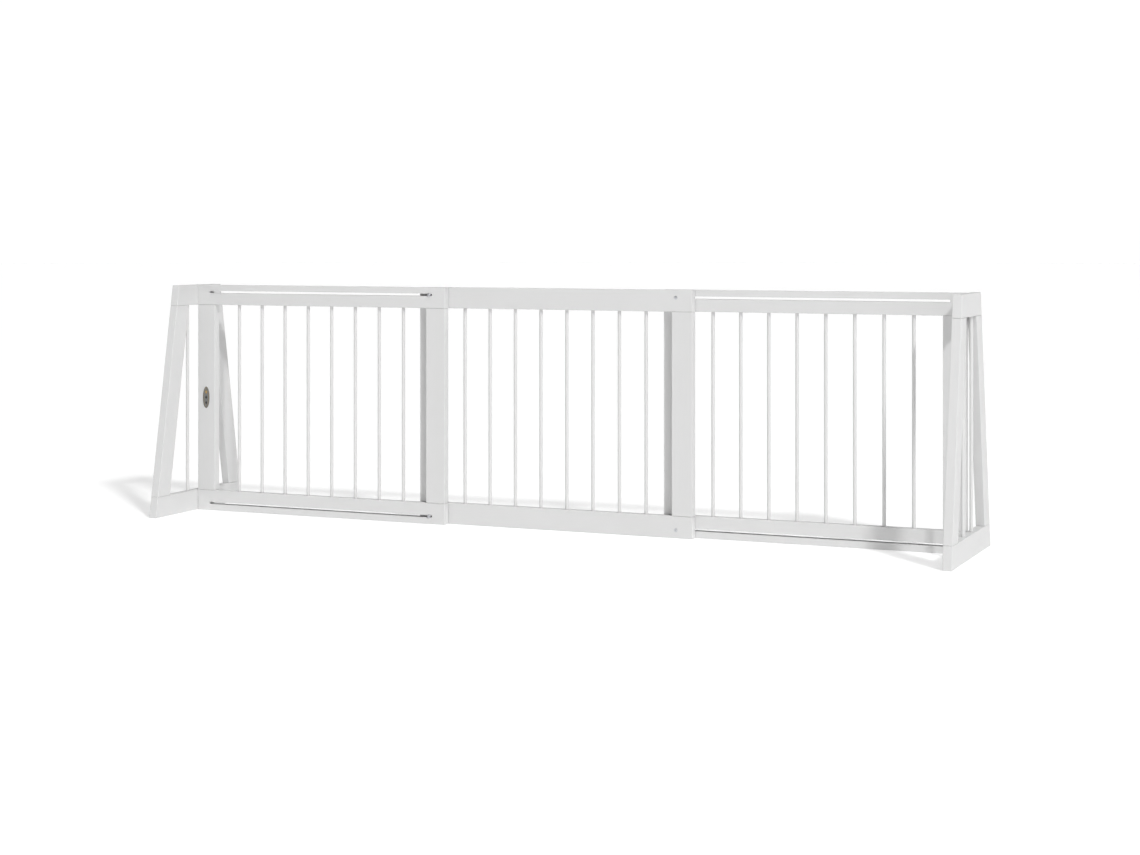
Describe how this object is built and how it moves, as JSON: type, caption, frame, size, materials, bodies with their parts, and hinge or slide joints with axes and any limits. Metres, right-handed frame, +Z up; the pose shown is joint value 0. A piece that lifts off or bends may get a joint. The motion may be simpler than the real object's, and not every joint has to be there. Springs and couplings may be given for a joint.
{
  "type": "freestanding sliding pet gate",
  "caption": "Freestanding white wooden pet gate: barred panels in layers slide along each other on bolts in long slots, between two A-shaped feet.",
  "frame": {"origin": "on the floor, at the middle of the extended gate's length and in the mid-plane of the two feet", "axes": "+X along the gate from the front panel to the rear panel, -Y towards the front, +Z up"},
  "size_m": [2.444, 0.4714, 0.7],
  "materials": {
    "painted_wood": "smooth satin white paint on solid wood",
    "dowel_wood": "raw beech dowel",
    "zinc_steel": "bright zinc plate",
    "insert_brass": "plain turned brass",
    "spacer_nylon": "natural white nylon",
    "plate_pewter": "satin pewter grey with a thin gold-coloured line"
  },
  "bodies": {
    "front_section": {"front_top_rail": "painted_wood", "front_bottom_rail": "painted_wood", "front_left_stile": "painted_wood", "front_right_stile": "painted_wood", "front_spindle_1": "painted_wood", "front_spindle_2": "painted_wood", "front_spindle_3": "painted_wood", "front_spindle_4": "painted_wood", "front_spindle_5": "painted_wood", "front_spindle_6": "painted_wood", "front_spindle_7": "painted_wood", "front_spindle_8": "painted_wood", "left_foot_cap": "painted_wood", "left_foot_rail": "painted_wood", "left_foot_front_leg": "painted_wood", "left_foot_rear_leg": "painted_wood", "left_foot_front_spindle": "painted_wood", "left_foot_rear_spindle": "painted_wood", "front_section_dowels": "dowel_wood", "name_plate": "plate_pewter"},
    "middle_section": {"middle_top_rail": "painted_wood", "middle_bottom_rail": "painted_wood", "middle_left_stile": "painted_wood", "middle_right_stile": "painted_wood", "middle_spindle_1": "painted_wood", "middle_spindle_2": "painted_wood", "middle_spindle_3": "painted_wood", "middle_spindle_4": "painted_wood", "middle_spindle_5": "painted_wood", "middle_spindle_6": "painted_wood", "middle_spindle_7": "painted_wood", "middle_spindle_8": "painted_wood", "middle_section_dowels": "dowel_wood", "front_slide_bolts": "zinc_steel", "threaded_inserts": "insert_brass", "rear_slide_bolts": "zinc_steel", "spacer_washers": "spacer_nylon", "slide_washers": "zinc_steel", "slide_nuts": "zinc_steel"},
    "rear_section": {"rear_top_rail": "painted_wood", "rear_bottom_rail": "painted_wood", "rear_left_stile": "painted_wood", "rear_right_stile": "painted_wood", "rear_spindle_1": "painted_wood", "rear_spindle_2": "painted_wood", "rear_spindle_3": "painted_wood", "rear_spindle_4": "painted_wood", "rear_spindle_5": "painted_wood", "rear_spindle_6": "painted_wood", "rear_spindle_7": "painted_wood", "rear_spindle_8": "painted_wood", "right_foot_cap": "painted_wood", "right_foot_rail": "painted_wood", "right_foot_front_leg": "painted_wood", "right_foot_rear_leg": "painted_wood", "right_foot_front_spindle": "painted_wood", "right_foot_rear_spindle": "painted_wood", "rear_section_dowels": "dowel_wood"}
  },
  "joints": [
    {"name": "middle_slide", "type": "slide", "parent": "front_section", "child": "middle_section", "axis": [-1, 0, 0], "range_m": [0, 0.76]},
    {"name": "rear_slide", "type": "slide", "parent": "middle_section", "child": "rear_section", "axis": [-1, 0, 0], "range_m": [0, 0.765]}
  ]
}
